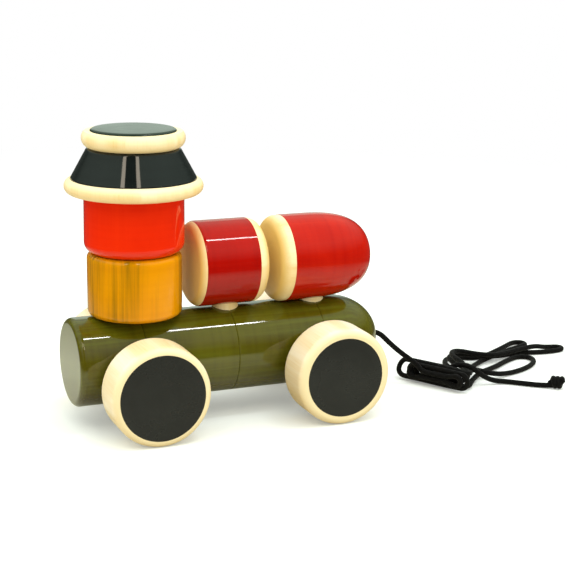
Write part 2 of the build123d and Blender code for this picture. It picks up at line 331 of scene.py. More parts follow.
# %% Grain group
tree, given, wanted = new_group(
    "grain_along_the_blank",
    [("Vector", direction, None), ("Normal", direction, None), ("Pale", colour, tint("f3e6bd")),
     ("Dark", colour, tint("d9bf85")), ("End", colour, tint("d9bf85"))],
    [("Color", colour), ("Streak", number), ("Height", number)],
)
broad = noise(tree, given["Vector"], (4, 64, 64), 4.0, distortion=0.5)
broad_step = ramp(tree, broad, 0.4, 0.62)
fibre = noise(tree, given["Vector"], (60, 1500, 1500), 2.0)
fibre_step = ramp(tree, fibre, 0.5, 0.8, high=0.3)
narrow = noise(tree, given["Vector"], (14, 620, 620), 3.0, distortion=0.3)
narrow_step = ramp(tree, narrow, 0.38, 0.66)
veins = calc(tree, "MULTIPLY_ADD", narrow_step, 0.7, 0.3)
streak = calc(tree, "ADD", calc(tree, "MULTIPLY", broad_step, 0.7), fibre_step, clamp=True)
long_grain = blend(tree, streak, given["Pale"], given["Dark"])
facing_x = add(tree, "SeparateXYZ", {0: given["Normal"]}).outputs["X"]
end_share = ramp(tree, calc(tree, "ABSOLUTE", facing_x), 0.25, 0.9)
grain_group = give_out(tree, wanted, {
    "Color": blend(tree, end_share, long_grain, given["End"]),
    "Streak": calc(tree, "MULTIPLY", broad_step, veins),
    "Height": calc(tree, "MULTIPLY", fibre_step, -0.00001),
})

# %% [markdown]
# ## Marks of the lathe
# A turned face keeps very faint rings where the gouge and the sandpaper passed, and the friction-melted
# lacquer follows them. Each piece carries a map of its own turning: across it goes once round the piece,
# and up it goes along the turned outline in metres. Noise along that one distance gives rings.

# %% Lathe ring group
tree, given, wanted = new_group(
    "lathe_rings",
    [("Vector", direction, None), ("Rings Per Metre", number, 900.0), ("Depth", number, 0.00001)],
    [("Rings", number), ("Height", number)],
)
outline_way = add(tree, "SeparateXYZ", {0: given["Vector"]}).outputs["Y"]
rings_place = calc(tree, "MULTIPLY", outline_way, given["Rings Per Metre"])
rings_noise = add(tree, "TexNoise", {"W": rings_place, "Scale": 1.0, "Detail": 2.0, "Roughness": 0.5},
                  noise_dimensions="1D").outputs["Fac"]
rings_group = give_out(tree, wanted, {
    "Rings": rings_noise,
    "Height": calc(tree, "MULTIPLY", rings_noise, given["Depth"]),
})

# %% [markdown]
# ## Handling
# Polished toys pick up a slight haze from fingers, and hair-fine scratches. Both only change how sharp the
# reflections are, so this group puts out a roughness between a clean and a handled value.

# %% Handling group
tree, given, wanted = new_group(
    "handling_haze",
    [("Vector", direction, None), ("Clean", number, 0.1), ("Handled", number, 0.2)],
    [("Roughness", number)],
)
haze = noise(tree, given["Vector"], 55.0, 4.0, roughness=0.6)
scratch_way = add(tree, "Mapping", {"Vector": given["Vector"], "Rotation": (0.4, 0.3, 0.7),
                                    "Scale": (130, 2600, 2600)}).outputs[0]
scratches = noise(tree, scratch_way, 1.0, 2.0)
worn = calc(tree, "ADD", ramp(tree, haze, 0.35, 0.7),
            ramp(tree, scratches, 0.62, 0.78, high=0.6), clamp=True)
handling_group = give_out(tree, wanted, {
    "Roughness": ramp(tree, worn, 0.0, 1.0, given["Clean"], given["Handled"]),
})

# %% [markdown]
# ## Lacquer film
# The melted film is a little thicker in some bands than in others, and the grain shows where it is thin.
# The group mixes three coats of one colour: the plain one, a deep one in thick bands, and a thin one over
# the grain's streaks.

# %% Lacquer film group
tree, given, wanted = new_group(
    "lacquer_film",
    [("Vector", direction, None), ("Streak", number, 0.0), ("Rings", number, 0.5),
     ("Plain", colour, (1, 1, 1, 1)), ("Deep", colour, (0, 0, 0, 1)), ("Thin", colour, (1, 1, 1, 1)),
     ("Grain Shows", number, 0.3)],
    [("Color", colour)],
)
cloud = noise(tree, given["Vector"], 28.0, 3.0, distortion=0.4)
thickness = calc(tree, "ADD", ramp(tree, cloud, 0.35, 0.7, high=0.8),
                 ramp(tree, given["Rings"], 0.4, 0.8, high=0.3), clamp=True)
thick_film = blend(tree, thickness, given["Plain"], given["Deep"])
thin_share = calc(tree, "MULTIPLY", given["Streak"], given["Grain Shows"])
film_group = give_out(tree, wanted, {"Color": blend(tree, thin_share, thick_film, given["Thin"])})

# %% [markdown]
# ## The finishes
# Every finish joins the same groups with its own values. Bare wood has only grain, rings and a soft wax
# sheen. Lacquer adds the film on top and is far smoother, so it mirrors lamps as sharp lines. A gentle
# bump keeps those lines from being ruler straight, as on any hand-turned piece. The ochre block was cut
# from its own place in the plank, where the streaks lie close together on one side.

# %% What the finishes share
quarter = pi / 2
grain_turns = {"x": (0, 0, 0), "y": (0, 0, quarter), "z": (0, quarter, 0)}


def wooden_base(name, grain, rings_per_metre, marks, clean, handled, cut_at=(0, 0, 0)):
    """A material's tree, its places, and what bare and lacquered wood share: grain way, rings and haze."""
    material, tree = new_material(name)
    places = add(tree, "TexCoord").outputs
    turned = add(tree, "Mapping", {"Vector": places["Object"], "Rotation": grain_turns[grain],
                                   "Location": cut_at}).outputs[0]
    rings = use_group(tree, rings_group, {"Vector": places["UV"], "Rings Per Metre": rings_per_metre,
                                          "Depth": marks})
    haze = use_group(tree, handling_group, {"Vector": places["Object"], "Clean": clean, "Handled": handled})
    return material, tree, places, turned, rings, haze["Roughness"]


def finish_surface(tree, color, roughness, heights, shader_values):
    """The last nodes of each finish: summed heights make a bump, and the shader takes all of it."""
    total = heights[0]
    for height in heights[1:]:
        total = calc(tree, "ADD", total, height)
    bump = add(tree, "Bump", {"Height": total, "Strength": 1.0, "Distance": 1.0})
    shader = add(tree, "BsdfPrincipled", {"Base Color": color, "Roughness": roughness,
                                          "Normal": bump.outputs[0], **shader_values})
    add(tree, "OutputMaterial", {0: shader.outputs[0]})


print("grain can run along", *grain_turns)

# %% Waxed wood
def bare_wood(name, grain, pale, dark, end):
    """Waxed wood with its grain along x, y or z."""
    material, tree, places, turned, rings, haze = wooden_base(name, grain, 1100.0, 0.00001, 0.34, 0.5)
    facing = add(tree, "Mapping", {"Vector": places["Normal"], "Rotation": grain_turns[grain]}).outputs[0]
    grains = use_group(tree, grain_group, {"Vector": turned, "Normal": facing, "Pale": tint(pale),
                                           "Dark": tint(dark), "End": tint(end)})
    finish_surface(tree, grains["Color"], haze, [grains["Height"], rings["Height"]],
                   {"Specular IOR Level": 0.45})
    return material


rim_wood = bare_wood("waxed_wood_along_y", "y", "fdf6da", "ecd69a", "f6ebc0")
upright_wood = bare_wood("waxed_wood_along_z", "z", "fff2c8", "f0d48c", "fff0c0")
level_wood = bare_wood("waxed_wood_along_x", "x", "fff0c4", "ecce86", "e8ca7c")
print("woods:", [wood.name for wood in (rim_wood, upright_wood, level_wood)])

# %% Lacquer
def lacquer(name, grain, plain, deep, thin, shows, clean=0.03, handled=0.08, marks=0.000004, coat=0.05,
            shine=0.32, cut_at=(0, 0, 0)):
    """Friction-melted lacquer over wood with its grain along x, y or z."""
    material, tree, places, turned, rings, haze = wooden_base(name, grain, 260.0, marks, clean, handled,
                                                              cut_at)
    grains = use_group(tree, grain_group, {"Vector": turned})
    film = use_group(tree, film_group, {"Vector": turned, "Streak": grains["Streak"],
                                        "Rings": rings["Rings"], "Plain": tint(plain),
                                        "Deep": tint(deep), "Thin": tint(thin), "Grain Shows": shows})
    sway = calc(tree, "MULTIPLY", noise(tree, turned, 38.0, 1.0), 0.00012)
    finish_surface(tree, film["Color"], haze, [rings["Height"], sway],
                   {"Specular IOR Level": shine, "Coat Weight": coat, "Coat Roughness": 0.05})
    return material


olive = lacquer("olive_lacquer", "x", "535109", "3e3603", "646e1a", 0.6, coat=0.5)
ochre = lacquer("ochre_lacquer", "z", "e89e00", "dc9000", "6e5c06", 0.95, cut_at=(0, 0.33, 0.21))
orange = lacquer("orange_lacquer", "z", "ea2c04", "dc2200", "f43604", 0.3)
red = lacquer("red_lacquer", "x", "bc1a07", "a60c03", "c8280d", 0.3)
deep_red = lacquer("deep_red_lacquer", "x", "aa0b02", "940601", "b81806", 0.3)
black = lacquer("black_lacquer", "z", "151b1b", "101414", "1d2323", 0.4, coat=0.2)
cap_black = lacquer("black_cap_lacquer", "z", "18281e", "122018", "243529", 0.4, clean=0.1, handled=0.2,
                    marks=0.00003, coat=0.0, shine=0.4)
disc_black = lacquer("black_disc_lacquer", "y", "1b1d1d", "151616", "232525", 0.4, clean=0.24, handled=0.36,
                     marks=0.000012, coat=0.0, shine=0.3)
print("finishes:", [m.name for m in bpy.data.materials])

# %% [markdown]
# ## The cord itself
# A smooth curve runs through the route as its control points, which rounds every corner. Its own line,
# read back from Blender, is the cord's centreline, and the braid is swept along it.

# %% Cord centreline
def distances(points):
    """How far along a line of points each of them lies."""
    travelled = [0.0]
    for here, there in zip(points, points[1:]):
        travelled.append(travelled[-1] + (there - here).length)
    return travelled


def curve_through(name, kind, points):
    """A curve and its one spline, whose points are given in metres."""
    curve = bpy.data.curves.new(name, "CURVE")
    curve.dimensions = "3D"
    spline = curve.splines.new(kind)
    spline.points.add(len(points) - 1)
    for point, spot in zip(spline.points, points):
        point.co = (*spot, 1.0)
    return curve, spline


def curve_mesh(curve):
    """The mesh that Blender makes of a curve."""
    piece = bpy.data.objects.new(curve.name, curve)
    mesh = bpy.data.meshes.new_from_object(piece)
    bpy.data.objects.remove(piece)
    return mesh


line, spline = curve_through("cord_line", "NURBS", [[c * mm for c in spot] for spot in cord_route])
spline.order_u = 3
spline.use_endpoint_u = True
spline.resolution_u = 14
line_mesh = curve_mesh(line)
centreline = [vert.co.copy() for vert in line_mesh.vertices]
bpy.data.meshes.remove(line_mesh)

# %% [markdown]
# ## Braid
# The cord is a soft polyester braid: sixteen flat strands cross over and under each other in small
# lozenges. The tube is swept along the centreline. Its map goes round it across and along its real length
# upwards, so the lozenges stay one size however the cord bends.

# %% Braid material
tree, given, wanted = new_group(
    "round_braid",
    [("Vector", direction, None), ("Strands", number, 8.0), ("Crossings Per Metre", number, 420.0)],
    [("Height", number), ("Painted Crown Light", number)],
)
braid_split = add(tree, "SeparateXYZ", {0: given["Vector"]}).outputs
round_way = calc(tree, "MULTIPLY", braid_split["X"], given["Strands"])
long_way = calc(tree, "MULTIPLY", braid_split["Y"], given["Crossings Per Metre"])
slants = [calc(tree, "PINGPONG", calc(tree, operation, round_way, long_way), 1.0)
          for operation in ("ADD", "SUBTRACT")]
# The second output is painted light: it is high where both strands' crowns meet and low in the grooves,
# which get painted shade.
braid_group = give_out(tree, wanted, {
    "Height": calc(tree, "MAXIMUM", *slants),
    "Painted Crown Light": calc(tree, "MULTIPLY", *slants),
})

cord_material, tree = new_material("black_braid")
cord_places = add(tree, "TexCoord").outputs
braid = use_group(tree, braid_group, {"Vector": cord_places["UV"]})
lint = ramp(tree, noise(tree, cord_places["Object"], 900.0, 3.0), 0.4, 0.75, high=0.35)
# The cord's colour mixes a painted highlight on the braid's crowns, painted shade in its grooves, and real
# pale lint.
painted_crown_light_and_lint = calc(tree, "ADD", braid["Painted Crown Light"], lint, clamp=True)
cord_black = blend(tree, painted_crown_light_and_lint, tint("020203"), tint("0a0a0b"))
finish_surface(tree, cord_black, 0.72, [calc(tree, "MULTIPLY", braid["Height"], 0.00022)],
               {"Specular IOR Level": 0.14, "Sheen Weight": 0.05, "Sheen Roughness": 0.5})

# %% Braided tube
tube_sides = 14


def swept_cord(name, points, radius):
    """A round tube along a line of points, with a map of its turn and its real length."""
    path, _ = curve_through("sweep", "POLY", points)
    path.bevel_depth = radius
    path.bevel_resolution = (tube_sides - 4) // 2
    path.use_fill_caps = True
    mesh = curve_mesh(path)
    mesh.name = name
    sides = len(mesh.vertices) // len(points)
    lengths = distances(points)
    layer = (mesh.uv_layers[0] if mesh.uv_layers else mesh.uv_layers.new()).uv
    for face in mesh.polygons:
        face.use_smooth = True
        wraps = {mesh.loops[i].vertex_index % sides for i in face.loop_indices} >= {0, sides - 1}
        for i in face.loop_indices:
            ring, place = divmod(mesh.loops[i].vertex_index, sides)
            place = sides if wraps and place == 0 else place
            layer[i].vector = (place / sides, lengths[min(ring, len(lengths) - 1)])
    mesh.materials.append(cord_material)
    piece = bpy.data.objects.new(name, mesh)
    bpy.context.scene.collection.objects.link(piece)
    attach(piece, "chassis")
    return piece


pull_cord = swept_cord("pull_cord_braid", centreline, cord_radius)
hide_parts("cord_lead", "cord_hank", "cord_crossing", "cord_loop", "cord_long_bight",
            "cord_arch", "cord_tail")
print("braid:", len(pull_cord.data.vertices), "vertices,", len(pull_cord.data.polygons), "faces")

# %% [markdown]
# ## End knot
# A stopper knot keeps the braid from fraying and gives a child something to hold. The cord is wrapped
# round itself nearly two and a half times and pulled tight, so its coils lie side by side round a core.

# %% End knot
knot_low, knot_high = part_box("cord_end_knot")
knot_centre = (knot_low + knot_high) / 2
run = centreline[-1] - centreline[-20]
run.z = 0
run.normalize()
across = Vector((-run.y, run.x, 0))
rise = Vector((0, 0, 1))
knot_turns, knot_half, coil = 2.4, 2.9 * mm, 2.25 * mm
knot_steps = 64
overlap, knot_start, tucked_from, tucked_to = 0.2, 4.2, 2.4, 1.0
knot_path = [centreline[-1] - run * overlap * mm, knot_centre - run * knot_start * mm]
for step in range(knot_steps + 1):
    share = step / knot_steps
    sweep = tau * knot_turns * share
    knot_path.append(knot_centre + run * (2 * share - 1) * knot_half
                     + (across * cos(sweep) + rise * sin(sweep)) * coil)
knot_path += [knot_centre + run * tucked_from * mm, knot_centre - run * tucked_to * mm]
knot = swept_cord("cord_end_knot_wraps", knot_path, cord_radius)
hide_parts("cord_end_knot")
print("knot:", [round(c / mm, 1) for c in knot_centre])

# %% [markdown]
# ## A lathe
# Nearly every piece is turned, so one helper works as the lathe does. It takes an outline as a few
# corners, spins them once round, welds the poles, rounds the corners that a turner would round, and gives
# each stretch of the outline its own finish. A corner without a rounding stays sharp, and one without a
# finish takes the first. A ring just outside each rounding holds the shading, so that flats look flat.
# Edges over 20 degrees stay crisp. Last comes the map that the lathe rings follow.

# %% Outlines
holding = 0.3


def held(outline):
    """The outline with a holding ring on both sides of each rounded corner, so that flats stay flat."""
    outline = [(*corner, 0, 0)[:4] for corner in outline]
    hollow = outline[0][1] > 0
    places = []
    for i, (reach, radius, rounding, finish) in enumerate(outline):
        before = outline[i - 1] if i or hollow else None
        after = outline[(i + 1) % len(outline)] if i + 1 < len(outline) or hollow else None
        for other, ahead in ((before, False), (after, True)):
            if ahead:
                places.append((reach, radius, rounding, finish))
            if rounding and other:
                across = Vector((other[0] - reach, other[1] - radius))
                near = rounding + holding
                if across.length > near + other[2] + 2 * holding:
                    spot = Vector((reach, radius)) + across.normalized() * near
                    places.append((spot.x, spot.y, 0, finish if ahead else other[3]))
    return places


print("outlines: flats are held", holding, "mm beyond each rounding")

# %% Spinning
spin_steps = 112
rounding_steps = 8
weld, on_the_ring = 1e-6, 2e-6


def square_to(axis):
    """A direction square to the axis: up, or forwards for an upright axis."""
    return Vector((0, 0, 1)) if abs(axis.z) < 0.5 else Vector((1, 0, 0))


def ring_edges(bm, foot, axis, reach, radius):
    """The edges of the ring that one corner of the outline has become."""
    def on_ring(vert):
        along = (vert.co - foot).dot(axis)
        out = (vert.co - foot - axis * along).length
        return abs(along - reach) < on_the_ring and abs(out - radius) < on_the_ring
    return [edge for edge in bm.edges if all(on_ring(vert) for vert in edge.verts)]


def turn(outline, foot, axis, steps):
    """Spin corners of (reach along the axis, radius, rounding, finish), in mm, into a closed mesh."""
    outline = [(reach * mm, radius * mm, rounding * mm, finish)
               for reach, radius, rounding, finish in held(outline)]
    bm = bmesh.new()
    outward = square_to(axis)
    corners = [bm.verts.new(foot + axis * reach + outward * radius) for reach, radius, _, _ in outline]
    closing = 1 if outline[0][1] > 0 else 0  # the outline of a tube is a closed loop
    edges = [bm.edges.new(pair) for pair in zip(corners, corners[1:] + corners[:closing])]
    bmesh.ops.spin(bm, geom=corners + edges, cent=foot, axis=axis, dvec=(0, 0, 0), angle=tau, steps=steps,
                   space=Matrix.Identity(4), use_merge=True, use_duplicate=False)
    bmesh.ops.remove_doubles(bm, verts=bm.verts, dist=weld)
    bmesh.ops.recalc_face_normals(bm, faces=bm.faces)
    strips = list(zip(outline, outline[1:] + outline[:closing]))
    for face in bm.faces:
        spots = [vert.co - foot for vert in face.verts]
        along = sum(spot.dot(axis) for spot in spots) / len(spots)
        out = sum((spot - axis * spot.dot(axis)).length for spot in spots) / len(spots)
        near = min(strips, key=lambda pair: ((pair[0][0] + pair[1][0]) / 2 - along) ** 2
                   + ((pair[0][1] + pair[1][1]) / 2 - out) ** 2)
        face.material_index = near[0][3]
    for reach, radius, rounding, _ in outline:
        if rounding > 0:
            bmesh.ops.bevel(bm, geom=ring_edges(bm, foot, axis, reach, radius), offset=rounding,
                            offset_type="OFFSET", segments=rounding_steps, profile=0.5, affect="EDGES",
                            material=-1, clamp_overlap=False)
    return bm


print("lathe: spins", spin_steps, "steps, rounds corners in", rounding_steps)

# %% Turning map
def map_turning(bm, foot, axis):
    """Write the turning map: once round across, and along the outline in metres upwards."""
    first = square_to(axis)
    second = axis.cross(first)
    places = {}
    for vert in bm.verts:
        spot = vert.co - foot
        along = spot.dot(axis)
        places[vert] = (along, (spot - axis * along).length, spot.dot(first), spot.dot(second))
    widest_at, widest = max(places.values(), key=lambda place: place[1])[:2]
    layer = bm.loops.layers.uv.new("turning")
    for face in bm.faces:
        middle = face.calc_center_median() - foot
        here = atan2(middle.dot(second), middle.dot(first)) / tau
        for corner in face.loops:
            along, out, one, two = places[corner.vert]
            round_share = here if out < weld else atan2(two, one) / tau
            round_share += round(here - round_share)
            path = along + out if along < widest_at else along + 2 * widest - out
            corner[layer].uv = (round_share, path)


print("turning map: turns across, metres of outline upwards")

# %% Finished pieces
crisp = radians(20)


def mesh_object(bm, name, finishes):
    """Put a finished bmesh into the scene as an object."""
    mesh = bpy.data.meshes.new(name)
    bm.to_mesh(mesh)
    bm.free()
    for finish in finishes:
        mesh.materials.append(finish)
    piece = bpy.data.objects.new(name, mesh)
    bpy.context.scene.collection.objects.link(piece)
    return piece


def turned_piece(node, outline, foot, axis, body, finishes, steps=spin_steps, band=None, name=None):
    """Turn, paint and map one piece: it rides on a body and stands for one solid."""
    axis = Vector(axis)
    bm = turn(outline, foot, axis, steps)
    if band:
        paint_band(bm, foot, axis, *band)
    map_turning(bm, foot, axis)
    for face in bm.faces:
        face.smooth = True
    for edge in bm.edges:
        edge.smooth = edge.is_manifold and edge.calc_face_angle(0) < crisp
    piece = mesh_object(bm, name or f"turned_{node}", finishes)
    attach(piece, body)
    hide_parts(node)
    return piece


def lying(node):
    """The back end of a piece that lies along the engine, and its length and radius in mm."""
    low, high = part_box(node)
    return Vector((low.x, 0, (low.z + high.z) / 2)), (high.x - low.x) / mm, (high.z - low.z) / 2 / mm


def standing(node):
    """The foot of a piece that stands upright, and its height and radius in mm."""
    low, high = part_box(node)
    return Vector(((low.x + high.x) / 2, 0, low.z)), (high.z - low.z) / mm, (high.x - low.x) / 2 / mm


print("crisp edges: over", round(crisp, 2), "radians")

# %% [markdown]
# ## Body log
# The chassis is one log with a flat, softly rounded back end and a domed nose. Three lines are scribed
# round it where the pegs stand, which is how the turner marks the holes. The cord's bore is part of the
# outline, which ends at its bottom, so the hole at the tip is real. The bore alone stays bare.

# %% Body log
foot, log_length, log_radius = lying("body_log")
dome_length, dome_steps, dome_lead = 28.0, 22, 1
groove_half, groove_deep = 0.35, 0.35
cord_bore, cord_bore_deep = 1.75, 10
back_rounding, back_flat = 3.0, 6
log_outline = [(0, 0), (0, log_radius - back_flat), (0, log_radius, back_rounding)]
for node in ("cab_peg", "barrel_peg", "nose_barrel_peg"):
    place = (standing(node)[0].x - foot.x) / mm
    log_outline += [(place - groove_half, log_radius), (place, log_radius - groove_deep),
                    (place + groove_half, log_radius)]
bore_edge = asin(cord_bore / log_radius)
dome_start = log_length - dome_length
log_outline.append((dome_start - dome_lead, log_radius))
for step in range(dome_steps + 1):
    sweep = quarter + (bore_edge - quarter) * step / dome_steps
    log_outline.append((dome_start + dome_length * cos(sweep), log_radius * sin(sweep)))
log_outline += [(log_length - cord_bore_deep, cord_bore, 0, 1), (log_length - cord_bore_deep, 0, 0, 1)]
body_log = turned_piece("body_log", log_outline, foot, (1, 0, 0), "chassis",
                        [olive, level_wood], steps=128)
print("body log:", len(body_log.data.polygons), "faces")

# %% [markdown]
# ## Wheels and axles
# A wheel is a slice of dowel with both rims rounded over and a black disc painted on its outer face while
# it spins. The paint stands a tenth of a millimetre proud, with a crisp edge. Its inner face has a blind
# hole that the axle is glued into. Each axle is a plain dowel with slightly broken ends.

# %% Wheels and axles
paint = 0.12
hole_deep, hole_radius, hole_edge = 14, 4.05, 0.3
inner_rim, outer_rim, inner_flat = 4.0, 3.4, 8
axle_radius, axle_edge = 4.0, 0.5


def dowel(length, radius, near_edge, far_edge):
    """The outline of a plain dowel whose two rims are broken."""
    return [(0, 0), (0, radius, near_edge), (length, radius, far_edge), (length, 0)]


for end, disc_radius in (("rear", 22.4), ("front", 21.2)):
    for hand, outer in (("left", 1), ("right", -1)):
        node = f"{end}_{hand}_wheel"
        low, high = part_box(node)
        width = (high.y - low.y) / mm
        radius = (high.z - low.z) / 2 / mm
        foot = Vector(((low.x + high.x) / 2, low.y if outer > 0 else high.y, (low.z + high.z) / 2))
        wheel_outline = [
            (hole_deep, 0), (hole_deep, hole_radius), (0, hole_radius, hole_edge),
            (0, radius - inner_flat), (0, radius, inner_rim), (width, radius, outer_rim),
            (width, disc_radius, 0, 1), (width + paint, disc_radius - paint, 0, 1),
            (width + paint, disc_radius / 2, 0, 1), (width + paint, 0, 0, 1),
        ]
        turned_piece(node, wheel_outline, foot, (0, outer, 0), f"{end}_wheelset",
                     [rim_wood, disc_black])
    low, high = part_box(f"{end}_axle")
    foot = Vector(((low.x + high.x) / 2, low.y, (low.z + high.z) / 2))
    axle_length = (high.y - low.y) / mm
    turned_piece(f"{end}_axle", dowel(axle_length, axle_radius, axle_edge, axle_edge), foot, (0, 1, 0),
                 f"{end}_wheelset", [rim_wood], steps=64, name=f"{end}_axle_dowel")
print("wheels: radius", round(radius, 1), "mm, width", round(width, 1), "mm, axle", round(axle_length, 1))

# %% [markdown]
# ## Pegs
# Three dowels stand in the log. The tall one carries the cab, and the two short ones carry the boiler.
# Their upper rims are broken so that the pieces slip on easily.

# %% Pegs
peg_radius, lower_edge, upper_edge = 7.0, 0.4, 1.2
for node, body in (("cab_peg", "chassis"), ("barrel_peg", "barrel_turn"),
                   ("nose_barrel_peg", "nose_barrel_turn")):
    foot, tall, _ = standing(node)
    turned_piece(node, dowel(tall, peg_radius, lower_edge, upper_edge), foot, (0, 0, 1), body,
                 [upright_wood], steps=72, name=f"{node}_dowel")
    print(node, "stands", round(foot.z / mm + tall, 1), "mm above the floor")

# %% [markdown]
# ## Cab blocks
# Two drums make the cab. Both are bored through for the peg, so their outline is a closed loop that never
# touches the axis, and the spin gives a tube. The lower one is ochre with the grain showing through. The
# upper one is orange, a little wider at its softly rounded foot. Their bored walls stay bare.

# %% Cab blocks
bore, bore_rim = 7.3, 0.5
for node, body, slot, finish, foot_round, top_round, top_inset in (
        ("cab_lower_block", "cab_lower", "ochre_lacquer", ochre, 3.0, 3.0, 0.0),
        ("cab_upper_block", "cab_upper", "orange_lacquer", orange, 5.5, 1.5, 0.2)):
    foot, tall, radius = standing(node)
    block_outline = [(0, bore, bore_rim), (0, radius, foot_round), (tall, radius - top_inset, top_round),
                     (tall, bore, bore_rim, 1)]
    turned_piece(node, block_outline, foot, (0, 0, 1), body, [finish, upright_wood])
    print(node, "radius", round(radius, 1), "mm, height", round(tall, 1), "mm")

# %% [markdown]
# ## Hat and cap
# The cab's roof is a wooden brim with a black cone turned from the same blank: the lacquer starts at a
# small step where the cone meets the brim. On it sits a cap, a bulging wooden ring with a black face that
# stands up a little and has a rounded shoulder. The cap's hole is blind, so from above nothing shows of
# the peg.

# %% Hat
foot, hat_height, _ = standing("cab_hat")
brim, brim_height, brim_steps = 35.6, 7.6, 14
cone_foot, cone_top, cone_rim = 32.1, 23.8, 1.2
lacquer_step, cone_lead = 0.25, 0.5
hat_outline = [(0, bore, bore_rim)]
for step in range(brim_steps):
    sweep = -quarter + pi * step / brim_steps
    hat_outline.append((brim_height / 2 * (1 + sin(sweep)), brim - brim_height / 2 * (1 - cos(sweep))))
hat_outline += [
    (brim_height, cone_foot + lacquer_step), (brim_height - lacquer_step, cone_foot, 0, 1),
    (brim_height + cone_lead, cone_foot, 0, 1), (hat_height, cone_top, cone_rim, 1),
    (hat_height, bore, bore_rim, 2),
]
turned_piece("cab_hat", hat_outline, foot, (0, 0, 1), "hat",
             [upright_wood, black, upright_wood])
print("hat: brim radius", brim, "mm, height", round(hat_height, 1), "mm")

# %% Cap
foot, cap_height, _ = standing("cab_cap")
cap_foot, cap_wide, cap_face = 23.0, 26.5, 22.2
peg_hole, hole_rim, foot_rim, face_rise = 5.6, 0.4, 0.5, 1.42
bulge_steps, shoulder_steps, crown_steps = 12, 8, 6
# the bulging edge is an arc through the foot, the widest place and the face
half = cap_height / 2
lower_inset, upper_inset = cap_wide - cap_foot, cap_wide - cap_face
lower_arc = (half ** 2 + lower_inset ** 2) / (2 * lower_inset)
upper_arc = (half ** 2 + upper_inset ** 2) / (2 * upper_inset)
rim_height = cap_height - face_rise
cap_outline = [(peg_hole, 0), (peg_hole, bore), (0, bore, hole_rim), (0, cap_foot, foot_rim)]
for step in range(1, bulge_steps + 1):
    height = rim_height * step / bulge_steps
    arc = lower_arc if height < half else upper_arc
    bulge = arc - sqrt(arc ** 2 - (height - half) ** 2)
    cap_outline.append((height, cap_wide - bulge))
# the black face stands up with a softly rounded edge and is crowned a little
shoulder, crown, film = 2.4, 0.12, 0.1
face_foot, face_edge = rim_height + paint, cap_face - film
face_step = cap_height - crown - rim_height - paint
cap_outline.append((face_foot, face_edge, 0, 1))
for step in range(1, shoulder_steps + 1):
    sweep = quarter * step / shoulder_steps
    cap_outline.append((face_foot + face_step * sin(sweep), face_edge - shoulder * (1 - cos(sweep)), 0, 1))
for step in range(1, crown_steps + 1):
    share = 1 - step / crown_steps
    cap_outline.append((cap_height - crown * share ** 2, (face_edge - shoulder) * share, 0, 1))
turned_piece("cab_cap", cap_outline, foot, (0, 0, 1), "cap", [upright_wood, cap_black])
print("cap: widest", cap_wide, "mm, height", round(cap_height, 1), "mm")

# %% [markdown]
# ## Boiler barrels
# Both barrels lie along the engine and drop over their pegs, so each gets a blind socket underneath: it
# is cut by an upright drill bit after the turning. The rear one is a short drum with a wooden ring left
# bare at both ends. The front one is bullet-nosed and bare only at its back end. The red lacquer is a
# band: the mesh is cut at its borders, and its faces are lifted by the thickness of the film.

# %% Lacquer band
on_the_cut = 1e-7


def paint_band(bm, foot, axis, start, end):
    """Cut a turned mesh at both borders of a band, give the band the second finish and raise it."""
    for reach in (start, end):
        bmesh.ops.bisect_plane(bm, geom=bm.verts[:] + bm.edges[:] + bm.faces[:], dist=on_the_cut,
                               plane_co=foot + axis * reach * mm, plane_no=axis)
    band = [face for face in bm.faces
            if start * mm < (face.calc_center_median() - foot).dot(axis) < end * mm]
    for face in band:
        face.material_index = 1
    bmesh.ops.inset_region(bm, faces=band, thickness=film * mm, depth=film * mm, use_even_offset=True,
                           use_boundary=True)


print("red film:", film, "mm")

# %% Peg sockets
below, above = 10 * mm, 0.0001  # how far the bit starts below a barrel and ends above its peg
barrel_steps, back_flat = 128, 9


def drill(piece, node, peg):
    """Bore the socket for a peg up into a finished piece; its wall takes the piece's first finish."""
    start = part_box(node)[0].z - below
    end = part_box(peg)[1].z + above
    middle = sum(corner.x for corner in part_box(peg)) / 2
    bm = bmesh.new()
    bmesh.ops.create_cone(bm, cap_ends=True, segments=72, radius1=bore * mm, radius2=bore * mm,
                          depth=end - start, matrix=Matrix.Translation((middle, 0, (start + end) / 2)))
    bit = mesh_object(bm, "drill_bit", piece.data.materials[:1])
    hole = piece.modifiers.new("socket", "BOOLEAN")
    hole.operation = "DIFFERENCE"
    hole.solver = "EXACT"
    hole.object = bit
    seen = bpy.context.evaluated_depsgraph_get()
    drilled = bpy.data.meshes.new_from_object(piece.evaluated_get(seen))
    piece.modifiers.clear()
    piece.data = drilled
    bpy.data.objects.remove(bit)
    print(piece.name, "has", len(drilled.polygons), "faces")


print("drill: radius", bore, "mm")

# %% Rear barrel
foot, long, radius = lying("boiler_barrel")
front_flat, back_rounding, front_rounding = 12, 4.5, 6.4
bare_back, bare_front = 2.9, 6.5
barrel_outline = [(0, 0), (0, radius - back_flat), (0, radius, back_rounding),
                  (long, radius, front_rounding), (long, radius - front_flat), (long, 0)]
barrel = turned_piece("boiler_barrel", barrel_outline, foot, (1, 0, 0), "barrel",
                      [level_wood, deep_red], steps=barrel_steps, band=(bare_back, long - bare_front))
drill(barrel, "boiler_barrel", "barrel_peg")

